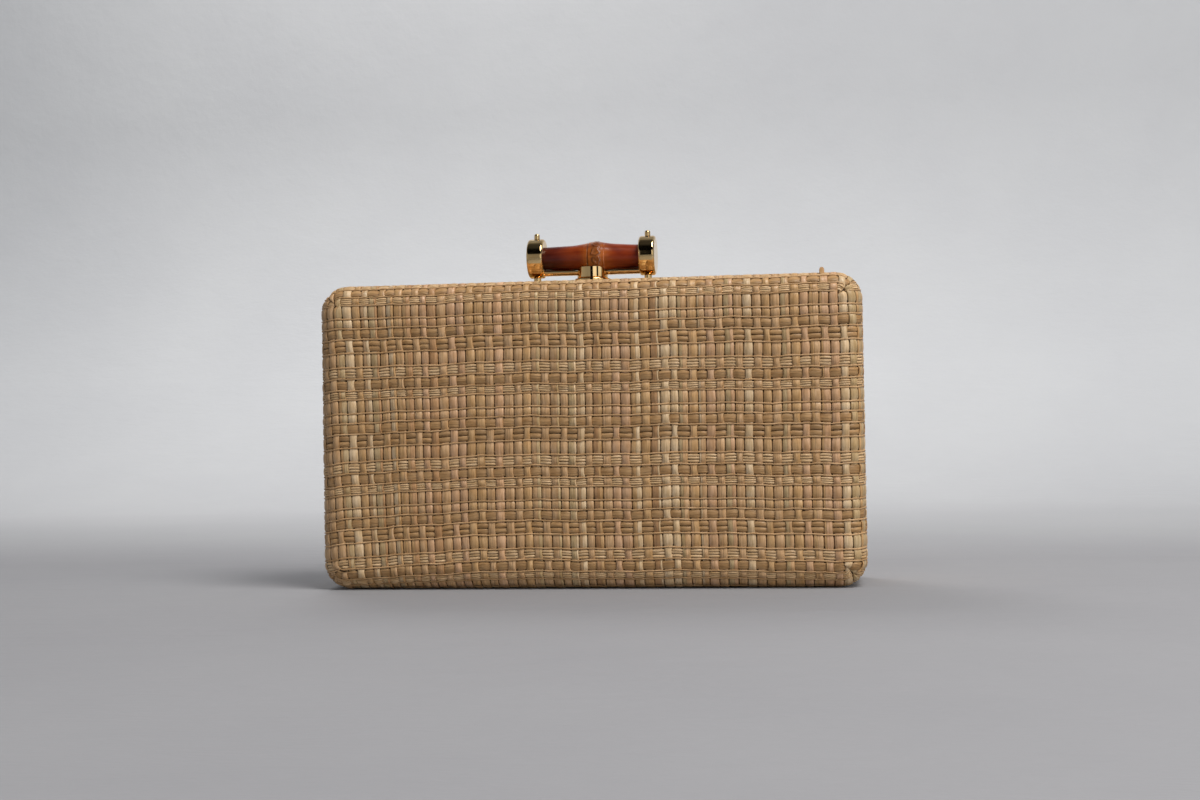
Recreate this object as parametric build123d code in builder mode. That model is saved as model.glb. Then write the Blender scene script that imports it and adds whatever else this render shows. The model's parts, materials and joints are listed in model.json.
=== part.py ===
from build123d import *
from math import radians, sqrt, tan
import os

# Woven box clutch: two hard half shells hinged at the bottom, closed on top by a turning bamboo bar.
# X runs along the bag, the front is towards -Y, and the bag stands on Z = 0. Millimetres.

# Body
bag_length = 190.0
bag_height = 107.0
bag_depth = 50.0
corner_radius = 9.5
edge_radius = 8.0

# Wall layers, from outside to inside
cover_thickness = 1.2
shell_thickness = 1.5
lining_thickness = 0.6

# Metal frame round the mouth of each half
seam_gap = 0.3
rail_width = 3.4
sleeve_length = 6.0
sleeve_thickness = 0.8

# Weave of the cover: upright straws, and the rows in which a weft lies bare over every other straw
straw_pitch = 3.15
straw_gap = 0.5
weave_depth = 0.35
weave_margin = 0.6
weave_repeat = 32.25
weave_start = 7.5
bare_wefts = [
    # drop below the start of a repeat, height
    (11.5, 3.65),
    (25.0, 2.95),
]

# Bottom hinges
open_angle = 75.0
stop_allowance = 2.0
hinge_inset = 37.0
hinge_length = 26.0
knuckle_radius = 1.8
knuckle_clearance = 0.3
knuckle_gap = 0.2
hinge_pin_radius = 0.8
running_clearance = 0.05
leaf_thickness = 0.7
leaf_reach = 15.0
leaf_corner = 2.0
rivet_offset = 12.2
rivet_spread = 15.0
rivet_radius = 0.9
rivet_head_radius = 1.7
rivet_head_height = 0.7
rivet_head_round = 0.6

# Clasp plate and its fixings, on the back half
plate_lift = 0.3
plate_thickness = 1.4
plate_radius = 6.5
plate_reach = 15.5
plate_corner = 2.0
plate_round = 0.4
screw_offset = 12.0
screw_spread = 7.6
screw_radius = 0.8
screw_head_radius = 1.5
screw_clearance = 0.1
screw_slot_width = 0.4
screw_slot_depth = 0.35
backing_thickness = 1.0
backing_width = 5.6

# Turning post
post_radius = 1.6
post_clearance = 0.4
boss_radius = 5.5
boss_rise = 0.5
boss_chamfer = 0.3
turn_gap = 0.1

# Bamboo bar, as half length and radius, with its swollen node off centre
bar_end_radius = 4.1
bar_half_length = 21.8
node_offset = 1.4
node_radius = 5.65
node_flat = 3.6
node_rise_left = 11.5
node_rise_right = 12.5
bar_fit = 0.1

# Collars, their pins and the yoke that joins them
collar_radius = 7.05
collar_width = 5.8
collar_end_wall = 1.1
collar_round = 0.9
collar_lift = 2.35
pin_radius = 1.0
pin_foot_radius = 1.35
pin_foot_height = 1.2
pin_rise = 2.0
pin_round = 0.8
yoke_width = 4.0
yoke_thickness = 2.2
yoke_round = 0.9
yoke_belly = 1.2

# Latch tongue under the top wall, and the spring catch it hooks
tongue_drop = 2.9
tongue_width = 5.0
tongue_thickness = 1.2
tongue_tail = 3.2
hook_reach = 9.5
hook_thickness = 1.2
hook_height = 1.4
post_flat = 1.15
nut_flats = 5.0
nut_thickness = 1.6
thread_radius = 1.3
thread_end = 0.4
catch_width = 6.0
catch_thickness = 0.5
catch_back = 16.6
catch_bend = 12.6
catch_bend_end = 10.3
catch_clearance = 0.5
lip_clearance = 0.35
catch_rivet_offset = 14.3
catch_rivet_spread = 3.0
catch_rivet_radius = 0.6
catch_rivet_head = 1.1
catch_rivet_rise = 0.5

# Levels and places that follow from the sizes above
wall_thickness = cover_thickness + shell_thickness + lining_thickness
shell_inside = cover_thickness + shell_thickness
half_depth = bag_depth / 2
seam = seam_gap / 2
mouth = seam + rail_width
ceiling = bag_height - wall_thickness
hinge_height = wall_thickness + leaf_thickness - knuckle_radius
pocket_radius = knuckle_radius + knuckle_clearance
hinge_centres = (hinge_inset - bag_length / 2, bag_length / 2 - hinge_inset)
knuckle_length = (hinge_length - 2 * knuckle_gap) / 3
plate_top = bag_height + plate_lift + plate_thickness
bar_height = bag_height + collar_lift + collar_radius
yoke_top = bar_height - bar_end_radius - bar_fit
yoke_bottom = yoke_top - yoke_thickness
boss_bottom = plate_top + turn_gap
boss_top = yoke_top + boss_rise
collar_outer = bar_half_length + collar_end_wall
collar_inner = collar_outer - collar_width
pin_offset = collar_outer - collar_width / 2
collar_bottom = bar_height - collar_radius
collar_top = bar_height + collar_radius
tongue_top = ceiling - tongue_drop
tongue_bottom = tongue_top - tongue_thickness
catch_low = tongue_top + hook_height + catch_clearance
catch_reach = sqrt((hook_reach - hook_thickness - catch_clearance) ** 2 - (catch_width / 2) ** 2)
bar_axis = Axis((0, 0, bar_height), (1, 0, 0))

sides = {"front": Plane.front, "back": Plane.back}
on_base = (Align.CENTER, Align.CENTER, Align.MIN)


def save(piece, name):
    """Label a finished piece and write it."""
    piece.part.label = name
    export_step(piece.part, f"parts/{name}.step")


def outline(inset, mode=Mode.ADD):
    """Rounded outline of the bag seen from the front, this far inside its outer surface."""
    with Locations((0, bag_height / 2)):
        RectangleRounded(
            bag_length - 2 * inset, bag_height - 2 * inset, corner_radius - inset, mode=mode
        )


def half_block(side, inset):
    """Solid block of one half, from the mouth of its shell to its face."""
    with BuildPart() as block:
        with BuildSketch(side.offset(mouth)):
            outline(inset)
        extrude(amount=half_depth - inset - mouth)
        fillet(block.faces().sort_by(Axis(side.origin, side.z_dir))[-1].edges(), edge_radius - inset)
    return block.part


def rivet_points(facing):
    """Places of the hinge rivets of one half, seen from above."""
    return [
        (centre + shift, facing * rivet_offset)
        for centre in hinge_centres
        for shift in (-rivet_spread / 2, rivet_spread / 2)
    ]


def catch_rivet_points():
    """Places of the catch rivets, seen from above."""
    return [(shift, -catch_rivet_offset) for shift in (-catch_rivet_spread / 2, catch_rivet_spread / 2)]


def screw_points():
    """Places of the clasp screws, seen from above."""
    return [(shift, screw_offset) for shift in (-screw_spread / 2, screw_spread / 2)]


def upright_holes(points, radius, bottom, top):
    """Cut round upright holes between two levels."""
    with Locations(*[(x, y, bottom) for x, y in points]):
        Cylinder(radius, top - bottom, align=on_base, mode=Mode.SUBTRACT)


def bar_block(growth):
    """The bamboo bar as a turned solid, grown by this much."""
    half_length = bar_half_length + growth
    end_level = bar_height + bar_end_radius + growth
    node_level = bar_height + node_radius + growth
    node_left = node_offset - node_flat / 2
    node_right = node_offset + node_flat / 2
    with BuildPart() as block:
        with BuildSketch(Plane.XZ):
            with BuildLine():
                left = Line((-half_length, end_level), (node_left - node_rise_left, end_level))
                node = Line((node_left, node_level), (node_right, node_level))
                right = Line((node_right + node_rise_right, end_level), (half_length, end_level))
                Spline(left @ 1, node @ 0, tangents=[(1, 0), (1, 0)])
                Spline(node @ 1, right @ 0, tangents=[(1, 0), (1, 0)])
                Polyline(right @ 1, (half_length, bar_height), (-half_length, bar_height), left @ 0)
            make_face()
        revolve(axis=bar_axis)
    return block.part


os.makedirs("parts", exist_ok=True)

# Grooves on both sides of one straw, joined where bare wefts cross it
weave_width = bag_length - 2 * (edge_radius + weave_margin)
weave_height = bag_height - 2 * (edge_radius + weave_margin)
with BuildSketch() as straw_grooves:
    with GridLocations(straw_pitch, 0, 2, 1):
        Rectangle(straw_gap, weave_height)
    for repeat in range(int(bag_height / weave_repeat) + 1):
        for drop, row_height in bare_wefts:
            row = bag_height / 2 - weave_start - repeat * weave_repeat - drop - row_height / 2
            if abs(row) + row_height / 2 < weave_height / 2:
                with Locations((0, row)):
                    Rectangle(straw_pitch, row_height)

for side_name, side in sides.items():
    facing = side.z_dir.Y
    outer_block = half_block(side, 0)
    board_block = half_block(side, cover_thickness)
    lining_block = half_block(side, shell_inside)
    hollow_block = half_block(side, wall_thickness)

    # Woven cover: grooves between its upright straws, and wefts that lie bare over every other straw
    with BuildPart() as cover:
        add(outer_block)
        add(board_block, mode=Mode.SUBTRACT)
        with BuildSketch(side.offset(half_depth)):
            with Locations((0, bag_height / 2)):
                with GridLocations(2 * straw_pitch, 0, int(weave_width / straw_pitch / 2), 1):
                    add(straw_grooves.sketch)
        extrude(amount=-weave_depth, mode=Mode.SUBTRACT)
        if side_name == "back":
            upright_holes(screw_points(), screw_radius + screw_clearance, ceiling, bag_height)
    save(cover, f"{side_name}_cover")

    # Hard shell, rebated at its mouth for the sleeve of the frame
    with BuildPart() as shell:
        add(board_block)
        add(lining_block, mode=Mode.SUBTRACT)
        with BuildSketch(side.offset(mouth)):
            outline(shell_inside - sleeve_thickness)
        extrude(amount=sleeve_length, mode=Mode.SUBTRACT)
        upright_holes(rivet_points(facing), rivet_radius, 0, wall_thickness)
        if side_name == "back":
            upright_holes(screw_points(), screw_radius + screw_clearance, ceiling, bag_height)
        if side_name == "front":
            upright_holes(catch_rivet_points(), catch_rivet_radius, ceiling, bag_height)
    save(shell, f"{side_name}_shell")

    # Cloth lining
    with BuildPart() as lining:
        add(lining_block)
        add(hollow_block, mode=Mode.SUBTRACT)
        upright_holes(rivet_points(facing), rivet_radius, 0, wall_thickness)
        if side_name == "back":
            upright_holes(screw_points(), screw_radius + screw_clearance, ceiling, bag_height)
        if side_name == "front":
            upright_holes(catch_rivet_points(), catch_rivet_radius, ceiling, bag_height)
    save(lining, f"{side_name}_lining")

    # Frame: a rail that shows at the seam and a sleeve inside the shell.
    # The two bottom rails are bevelled away from the hinge axis, and these bevels stop the opening.
    bevel_slope = tan(radians((open_angle + stop_allowance) / 2))
    with BuildPart() as frame:
        with BuildSketch(side.offset(seam)):
            outline(0)
            outline(wall_thickness, mode=Mode.SUBTRACT)
        extrude(amount=rail_width)
        with BuildSketch(side.offset(mouth)):
            outline(shell_inside - sleeve_thickness)
            outline(shell_inside, mode=Mode.SUBTRACT)
        extrude(amount=sleeve_length)
        with BuildSketch(Plane.YZ):
            with BuildLine():
                Polyline(
                    (0, hinge_height),
                    (facing * seam, hinge_height),
                    (facing * (seam + 2 * hinge_height * bevel_slope), -hinge_height),
                    (0, -hinge_height),
                    close=True,
                )
            make_face()
        extrude(amount=bag_length, both=True, mode=Mode.SUBTRACT)
        for centre in hinge_centres:
            with BuildSketch(Plane.YZ.offset(centre - hinge_length / 2 - knuckle_gap)):
                with Locations((0, hinge_height)):
                    Circle(pocket_radius)
            extrude(amount=hinge_length + 2 * knuckle_gap, mode=Mode.SUBTRACT)
        upright_holes([(0, 0)], post_radius + post_clearance, ceiling, bag_height)
    save(frame, f"{side_name}_frame")

    # Hinge leaves, with knuckles rolled at their edge: one in the middle in front, two outside behind
    if side_name == "front":
        knuckles = [0]
    else:
        knuckles = [-knuckle_length - knuckle_gap, knuckle_length + knuckle_gap]
    for hand, centre in zip(("left", "right"), hinge_centres):
        with BuildPart() as leaf:
            with BuildSketch(Plane.XY.offset(wall_thickness)):
                with Locations((centre, facing * (pocket_radius + leaf_reach) / 2)):
                    Rectangle(hinge_length, leaf_reach - pocket_radius)
            extrude(amount=leaf_thickness)
            outer_corners = leaf.edges().filter_by(Axis.Z).sort_by(Axis(side.origin, side.z_dir))[-2:]
            fillet(outer_corners, leaf_corner)
            for shift in knuckles:
                with BuildSketch(Plane.YZ.offset(centre + shift - knuckle_length / 2)):
                    with Locations((0, hinge_height)):
                        Circle(knuckle_radius)
                    with Locations((facing * pocket_radius / 2, wall_thickness + leaf_thickness / 2)):
                        Rectangle(pocket_radius, leaf_thickness)
                extrude(amount=knuckle_length)
            bore_radius = hinge_pin_radius
            if side_name == "front":
                bore_radius = hinge_pin_radius + running_clearance
            with BuildSketch(Plane.YZ.offset(centre - hinge_length / 2)):
                with Locations((0, hinge_height)):
                    Circle(bore_radius)
            extrude(amount=hinge_length, mode=Mode.SUBTRACT)
            upright_holes(rivet_points(facing), rivet_radius, 0, wall_thickness + leaf_thickness)
        save(leaf, f"{side_name}_hinge_leaf_{hand}")

    # Hinge rivets: domed heads on the leaves, shanks down to the outside of the shell
    with BuildPart() as rivets:
        with BuildSketch(Plane.XY.offset(cover_thickness)):
            with Locations(*rivet_points(facing)):
                Circle(rivet_radius)
        extrude(amount=wall_thickness + leaf_thickness - cover_thickness)
        with BuildSketch(Plane.XY.offset(wall_thickness + leaf_thickness)):
            with Locations(*rivet_points(facing)):
                Circle(rivet_head_radius)
        extrude(amount=rivet_head_height)
        fillet(rivets.faces().sort_by(Axis.Z)[-len(rivet_points(facing)):].edges(), rivet_head_round)
    save(rivets, f"{side_name}_hinge_rivets")

# Hinge pins, tight in the back leaves
for hand, centre in zip(("left", "right"), hinge_centres):
    with BuildPart() as hinge_pin:
        with BuildSketch(Plane.YZ.offset(centre - hinge_length / 2)):
            with Locations((0, hinge_height)):
                Circle(hinge_pin_radius)
        extrude(amount=hinge_length)
    save(hinge_pin, f"hinge_pin_{hand}")

# Clasp plate: rests on the back half and reaches over the front half without touching it
with BuildPart() as clasp_plate:
    with BuildSketch(Plane.XY.offset(bag_height)):
        with BuildLine():
            front_arc = CenterArc((0, 0), plate_radius, 180, 180)
            Polyline(front_arc @ 1, (plate_radius, plate_reach), (-plate_radius, plate_reach), front_arc @ 0)
        make_face()
    extrude(amount=plate_lift + plate_thickness)
    fillet(clasp_plate.edges().filter_by(Axis.Z).group_by(Axis.Y)[-1], plate_corner)
    fillet(clasp_plate.faces().sort_by(Axis.Z)[-1].edges(), plate_round)
    with BuildSketch(Plane.XY.offset(bag_height)):
        with Locations((0, seam - plate_radius)):
            Rectangle(2 * plate_radius, 2 * plate_radius)
    extrude(amount=plate_lift, mode=Mode.SUBTRACT)
    upright_holes([(0, 0)], post_radius + running_clearance, bag_height, plate_top)
    with Locations(Plane.XY.offset(plate_top)):
        with Locations(*screw_points()):
            CounterSinkHole(screw_radius + screw_clearance, screw_head_radius, counter_sink_angle=90)
save(clasp_plate, "clasp_plate")

# Backing plate under the lining, tapped for the clasp screws
with BuildPart() as backing:
    with BuildSketch(Plane.XY.offset(ceiling - backing_thickness)):
        with Locations((0, screw_offset)):
            RectangleRounded(2 * plate_radius, backing_width, plate_corner)
    extrude(amount=backing_thickness)
    upright_holes(screw_points(), screw_radius, ceiling - backing_thickness, ceiling)
save(backing, "clasp_backing_plate")

# Clasp screws: countersunk, slotted, their heads flush with the plate
screw_bottom = ceiling - backing_thickness
head_depth = screw_head_radius - screw_radius
with BuildPart() as screws:
    with BuildSketch(Plane.XY.offset(screw_bottom)):
        with Locations(*screw_points()):
            Circle(screw_radius)
    extrude(amount=plate_top - screw_bottom)
    for place in screw_points():
        with Locations((*place, plate_top - head_depth / 2)):
            Cone(screw_radius, screw_head_radius - screw_clearance, head_depth)
    with BuildSketch(Plane.XY.offset(plate_top)):
        with Locations(*screw_points()):
            Rectangle(2 * screw_head_radius, screw_slot_width)
    extrude(amount=-screw_slot_depth, mode=Mode.SUBTRACT)
save(screws, "clasp_screws")

# Room for the bar in the boss and the yoke
grown_bar = bar_block(bar_fit)

# Section of the yoke: its long edges well rounded
with BuildSketch() as yoke_section:
    Rectangle(yoke_width, yoke_thickness)
    fillet(yoke_section.vertices().group_by(Axis.Y)[-1], yoke_round)
    fillet(yoke_section.vertices().group_by(Axis.Y)[0], yoke_belly)

# Turning post: a round boss with a saddle for the bar and a slot for the yoke, on a long shank
with BuildPart() as turn_post:
    with BuildSketch(Plane.XY.offset(boss_bottom)):
        Circle(boss_radius)
    extrude(amount=boss_top - boss_bottom)
    chamfer(turn_post.edges().group_by(Axis.Z)[0], boss_chamfer)
    with BuildSketch(Plane.XY.offset(tongue_top)):
        Circle(post_radius)
    extrude(amount=boss_bottom - tongue_top)
    with BuildSketch(Plane.XY.offset(tongue_bottom)):
        Circle(post_radius)
        Rectangle(2 * post_flat, 2 * post_radius, mode=Mode.INTERSECT)
    extrude(amount=tongue_thickness)
    with BuildSketch(Plane.XY.offset(tongue_bottom - nut_thickness - thread_end)):
        Circle(thread_radius)
    extrude(amount=nut_thickness + thread_end)
    with BuildSketch(Plane.YZ):
        with Locations((0, (yoke_top + yoke_bottom) / 2)):
            add(yoke_section.sketch)
    extrude(amount=boss_radius, both=True, mode=Mode.SUBTRACT)
    add(grown_bar, mode=Mode.SUBTRACT)
save(turn_post, "turn_post")

# Yoke: a flat bar through the boss into both collars, hollowed under the swelling of the bamboo
with BuildPart() as yoke:
    with BuildSketch(Plane.YZ):
        with Locations((0, (yoke_top + yoke_bottom) / 2)):
            add(yoke_section.sketch)
    extrude(amount=bar_half_length, both=True)
    add(grown_bar, mode=Mode.SUBTRACT)
    upright_holes([(-pin_offset, 0), (pin_offset, 0)], pin_radius, yoke_bottom, yoke_top)
save(yoke, "yoke")

# Bamboo bar
bar_solid = bar_block(0)
with BuildPart() as bamboo_bar:
    add(bar_solid)
    upright_holes([(-pin_offset, 0), (pin_offset, 0)], pin_radius, collar_bottom, collar_top)
save(bamboo_bar, "bamboo_bar")

# Collars: closed at their outer end, bored for the bar and slotted for the yoke
for hand, turn in (("left", -1), ("right", 1)):
    with BuildPart() as collar:
        with BuildSketch(Plane.YZ.offset(turn * collar_inner)):
            with Locations((0, bar_height)):
                Circle(collar_radius)
        extrude(amount=turn * collar_width)
        fillet(collar.edges(), collar_round)
        with BuildSketch(Plane.YZ.offset(turn * collar_inner)):
            with Locations((0, bar_height)):
                Circle(bar_end_radius)
            with Locations((0, (yoke_top + yoke_bottom) / 2)):
                add(yoke_section.sketch)
        extrude(amount=turn * (bar_half_length - collar_inner), mode=Mode.SUBTRACT)
        hole_bottom = collar_bottom - pin_foot_height
        upright_holes([(turn * pin_offset, 0)], pin_radius, hole_bottom, collar_top + pin_rise)
    save(collar, f"{hand}_collar")

# Pins down through the collars, bar and yoke, round on top and with a wider foot below
with BuildPart() as collar_pins:
    pin_places = [(-pin_offset, 0), (pin_offset, 0)]
    with BuildSketch(Plane.XY.offset(collar_bottom)):
        with Locations(*pin_places):
            Circle(pin_radius)
    extrude(amount=collar_top + pin_rise - collar_bottom)
    fillet(collar_pins.edges().group_by(Axis.Z)[-1], pin_round)
    with BuildSketch(Plane.XY.offset(collar_bottom)):
        with Locations(*pin_places):
            Circle(pin_foot_radius)
    extrude(amount=-pin_foot_height)
save(collar_pins, "collar_pins")

# Latch tongue, hooked up at its front end
with BuildPart() as tongue:
    with BuildSketch(Plane.XY.offset(tongue_bottom)):
        with Locations((0, (tongue_tail - hook_reach) / 2)):
            Rectangle(tongue_width, hook_reach + tongue_tail)
    extrude(amount=tongue_thickness)
    with BuildSketch(Plane.XY.offset(tongue_bottom)):
        with Locations((0, hook_thickness / 2 - hook_reach)):
            Rectangle(tongue_width, hook_thickness)
    extrude(amount=tongue_thickness + hook_height)
    with BuildSketch(Plane.XY.offset(tongue_bottom)):
        Circle(post_radius)
        Rectangle(2 * post_flat, 2 * post_radius, mode=Mode.INTERSECT)
    extrude(amount=tongue_thickness, mode=Mode.SUBTRACT)
save(tongue, "latch_tongue")

# Nut that holds the tongue on the post
with BuildPart() as tongue_nut:
    with BuildSketch(Plane.XY.offset(tongue_bottom - nut_thickness)):
        RegularPolygon(nut_flats / 2, 6, major_radius=False)
        Circle(thread_radius, mode=Mode.SUBTRACT)
    extrude(amount=nut_thickness)
save(tongue_nut, "tongue_nut")

# Spring catch: a bent strip riveted under the front half's top wall, its lip behind the hook
with BuildPart() as catch:
    with BuildSketch(Plane.YZ.offset(-catch_width / 2)):
        with BuildLine():
            Polyline(
                (-catch_back, ceiling),
                (-catch_bend, ceiling),
                (-catch_bend_end, catch_low + catch_thickness),
                (catch_thickness - catch_reach, catch_low + catch_thickness),
                (catch_thickness - catch_reach, tongue_top + lip_clearance),
                (-catch_reach, tongue_top + lip_clearance),
                (-catch_reach, catch_low),
                (-catch_bend_end, catch_low),
                (-catch_bend, ceiling - catch_thickness),
                (-catch_back, ceiling - catch_thickness),
                close=True,
            )
        make_face()
    extrude(amount=catch_width)
    upright_holes(catch_rivet_points(), catch_rivet_radius, catch_low, ceiling)
save(catch, "catch_spring")

# Rivets of the spring catch
with BuildPart() as catch_rivets:
    with BuildSketch(Plane.XY.offset(ceiling - catch_thickness)):
        with Locations(*catch_rivet_points()):
            Circle(catch_rivet_radius)
    extrude(amount=catch_thickness + lining_thickness + shell_thickness)
    with BuildSketch(Plane.XY.offset(ceiling - catch_thickness)):
        with Locations(*catch_rivet_points()):
            Circle(catch_rivet_head)
    extrude(amount=-catch_rivet_rise)
save(catch_rivets, "catch_rivets")
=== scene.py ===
import json
from math import pi, radians

import bmesh
import bpy
import numpy as np
from mathutils import Matrix, Vector


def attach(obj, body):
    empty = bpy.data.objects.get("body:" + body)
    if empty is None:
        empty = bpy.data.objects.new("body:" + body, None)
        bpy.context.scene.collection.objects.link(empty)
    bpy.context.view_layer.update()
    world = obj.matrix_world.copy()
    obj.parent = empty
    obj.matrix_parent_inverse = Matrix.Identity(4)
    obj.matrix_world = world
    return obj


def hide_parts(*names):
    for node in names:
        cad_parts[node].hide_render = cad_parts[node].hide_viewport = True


# Woven box clutch with a turning bamboo bar clasp. Millimetres here, metres in Blender.
MM = 0.001

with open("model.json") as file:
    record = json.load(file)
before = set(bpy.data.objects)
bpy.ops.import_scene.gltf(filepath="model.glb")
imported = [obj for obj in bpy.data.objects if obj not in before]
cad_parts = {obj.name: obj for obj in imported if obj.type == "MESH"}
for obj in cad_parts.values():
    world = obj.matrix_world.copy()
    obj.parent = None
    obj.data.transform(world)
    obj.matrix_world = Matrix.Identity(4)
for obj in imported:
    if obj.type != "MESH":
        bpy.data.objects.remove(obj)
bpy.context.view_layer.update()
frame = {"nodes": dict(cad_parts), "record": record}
nodes = frame["nodes"]
scene = bpy.context.scene
scene.view_settings.view_transform = "Standard"


# Camera

def set_camera():
    data = bpy.data.cameras.new("camera")
    data.lens = 49.5
    data.sensor_width = 36
    data.clip_start = 0.01
    camera = bpy.data.objects.new("camera", data)
    scene.collection.objects.link(camera)
    heading = Matrix.Rotation(radians(8.08), 4, "Z")
    tilt = Matrix.Rotation(radians(90 + 1.08), 4, "X")
    roll = Matrix.Rotation(radians(-0.998), 4, "Z")
    camera.matrix_world = Matrix.Translation((0.08473, -0.58373, 0.05414)) @ heading @ tilt @ roll
    scene.camera = camera


set_camera()


# Colours and shader tools

def srgb(red, green, blue):
    """A colour written as it looks on screen, 0 to 255, as linear values."""
    screen = np.array([red, green, blue]) / 255
    linear = np.where(screen <= 0.04045, screen / 12.92, ((screen + 0.055) / 1.055) ** 2.4)
    return (*[float(c) for c in linear], 1.0)


class Board:
    """The nodes of one material or group, added and wired by name."""

    def __init__(self, tree):
        self.tree = tree

    def add(self, kind, inputs=None, **settings):
        node = self.tree.nodes.new(kind)
        for name, value in settings.items():
            setattr(node, name, value)
        for name, value in (inputs or {}).items():
            socket = node.inputs[name]
            if isinstance(value, bpy.types.NodeSocket):
                self.tree.links.new(value, socket)
            else:
                socket.default_value = value
        return node

    def noise(self, vector, scale, detail=2.0, roughness=0.5):
        inputs = {"Vector": vector, "Scale": scale, "Detail": detail, "Roughness": roughness}
        return self.add("ShaderNodeTexNoise", inputs).outputs["Fac"]

    def range(self, value, low, high, to_low=0.0, to_high=1.0):
        inputs = {"Value": value, "From Min": low, "From Max": high, "To Min": to_low, "To Max": to_high}
        return self.add("ShaderNodeMapRange", inputs).outputs["Result"]

    def math(self, operation, first, second=0.0):
        return self.add("ShaderNodeMath", {0: first, 1: second}, operation=operation).outputs[0]

    def mix(self, factor, first, second, blend="MIX"):
        node = self.add("ShaderNodeMix", data_type="RGBA", blend_type=blend)
        for index, value in ((0, factor), (6, first), (7, second)):
            if isinstance(value, bpy.types.NodeSocket):
                self.tree.links.new(value, node.inputs[index])
            else:
                node.inputs[index].default_value = value
        return node.outputs[2]

    def ramp(self, value, stops):
        """Greys along a value, each stop as place and level from 0 to 255."""
        node = self.add("ShaderNodeValToRGB", {"Fac": value})
        held = node.color_ramp.elements
        for index, (place, level) in enumerate(stops):
            stop = held[index] if index < 2 else held.new(place)
            stop.position, stop.color = place, srgb(level, level, level)
        return node.outputs["Color"]

    def stretch(self, vector, scale):
        return self.add("ShaderNodeMapping", {"Vector": vector, "Scale": scale}).outputs["Vector"]

    def bump(self, height, strength, distance):
        inputs = {"Height": height, "Strength": strength, "Distance": distance}
        return self.add("ShaderNodeBump", inputs).outputs["Normal"]

    def group(self, tree, inputs):
        node = self.tree.nodes.new("ShaderNodeGroup")
        node.node_tree = tree
        for name, value in inputs.items():
            if isinstance(value, bpy.types.NodeSocket):
                self.tree.links.new(value, node.inputs[name])
            else:
                node.inputs[name].default_value = value
        return node.outputs


def new_material(name, **fixed):
    """A material with its Principled shader, whose constant values are set on its own sockets."""
    material = bpy.data.materials.new(name)
    material.use_nodes = True
    board = Board(material.node_tree)
    shader = material.node_tree.nodes["Principled BSDF"]
    for name, value in fixed.items():
        shader.inputs[name.replace("_", " ").title().replace("Ior", "IOR")].default_value = value
    return material, board, shader


def feed(board, shader, **sockets):
    for name, value in sockets.items():
        board.tree.links.new(value, shader.inputs[name.replace("_", " ").title()])


def new_group(name, inputs, outputs):
    tree = bpy.data.node_groups.new(name, "ShaderNodeTree")
    for label, kind, value in inputs:
        socket = tree.interface.new_socket(label, in_out="INPUT", socket_type=f"NodeSocket{kind}")
        socket.default_value = value
    for label, kind in outputs:
        tree.interface.new_socket(label, in_out="OUTPUT", socket_type=f"NodeSocket{kind}")
    board = Board(tree)
    return tree, board, board.add("NodeGroupInput").outputs, board.add("NodeGroupOutput")


def streaks_group():
    """Long fine lines along a fibre: Place holds the way along it, the way across it and its number."""
    tree, board, given, out = new_group(
        "fibre_streaks",
        [("Place", "Vector", (0, 0, 0)), ("Length", "Float", 0.25), ("Fineness", "Float", 3.0)],
        [("Lines", "Float"), ("Blotches", "Float")],
    )
    scale = board.add("ShaderNodeCombineXYZ", {"X": given["Length"], "Y": given["Fineness"], "Z": 7.3})
    laid = board.add("ShaderNodeVectorMath", {0: given["Place"], 1: scale.outputs[0]}, operation="MULTIPLY")
    fine = board.noise(laid.outputs[0], 1.0, 3.0, 0.6)
    broad = board.noise(board.stretch(laid.outputs[0], (0.5, 0.42, 1.3)), 1.0, 1.0)
    lines = board.math("ADD", board.math("MULTIPLY", fine, 0.55), board.math("MULTIPLY", broad, 0.45))
    blotches = board.noise(board.stretch(given["Place"], (0.22, 0.35, 3.1)), 1.0, 2.0)
    board.tree.links.new(board.range(lines, 0.37, 0.63), out.inputs["Lines"])
    board.tree.links.new(board.range(blotches, 0.3, 0.7), out.inputs["Blotches"])
    return tree


def handling_group():
    """Hairline scratches and the dull film that hands leave on metal or lacquer."""
    tree, board, given, out = new_group(
        "handling_marks",
        [("Place", "Vector", (0, 0, 0)), ("Clean", "Float", 0.08), ("Worn", "Float", 0.2)],
        [("Roughness", "Float"), ("Height", "Float")],
    )
    film = board.range(board.noise(given["Place"], 220.0, 4.0, 0.6), 0.42, 0.72)
    hairs = board.noise(board.stretch(given["Place"], (400, 5200, 5200)), 1.0, 2.0)
    share = board.math("ADD", board.math("MULTIPLY", film, 0.7), board.math("MULTIPLY", hairs, 0.3))
    spread = board.math("SUBTRACT", given["Worn"], given["Clean"])
    rough = board.math("ADD", board.math("MULTIPLY", share, spread), given["Clean"])
    board.tree.links.new(rough, out.inputs["Roughness"])
    board.tree.links.new(hairs, out.inputs["Height"])
    return tree


fibre_streaks = streaks_group()
handling_marks = handling_group()


# Materials

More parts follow.
